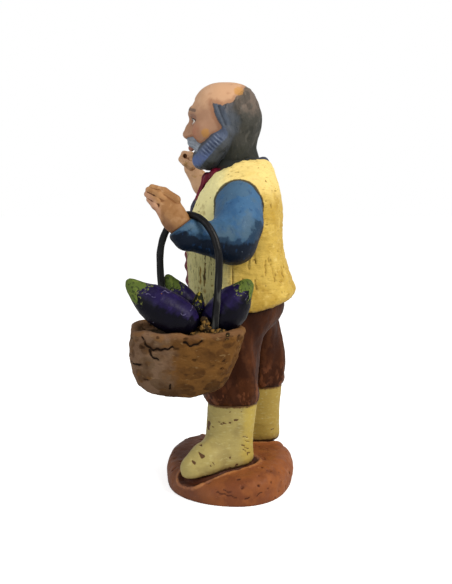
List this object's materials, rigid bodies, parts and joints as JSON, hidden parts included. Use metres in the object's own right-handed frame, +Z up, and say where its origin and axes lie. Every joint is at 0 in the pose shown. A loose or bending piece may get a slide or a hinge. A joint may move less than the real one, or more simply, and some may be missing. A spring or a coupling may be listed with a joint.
{
  "type": "terracotta farmer figurine",
  "caption": "Painted terracotta figurine of a bearded farmer standing on an oval base, with a clay basket of aubergines hung from the left forearm.",
  "frame": {"origin": "on the flat underside of the base, below the middle of the trunk", "axes": "+Z up from the underside to the crown, the figure faces -Y, +X towards the figure's left arm and its basket"},
  "size_m": [0.0888, 0.058, 0.1499],
  "materials": {
    "painted_terracotta": "matt hand-painted fired clay",
    "raw_clay_basket": "unglazed clay, washed brown",
    "violet_paint": "glossy dark violet paint on clay",
    "black_wire": "black painted wire, worn in places"
  },
  "bodies": {
    "root": {"figure": "painted_terracotta", "basket": "raw_clay_basket", "basket_handle": "black_wire", "aubergine_front": "violet_paint", "aubergine_back": "violet_paint", "aubergine_inner": "violet_paint", "aubergine_middle": "violet_paint"}
  },
  "joints": []
}
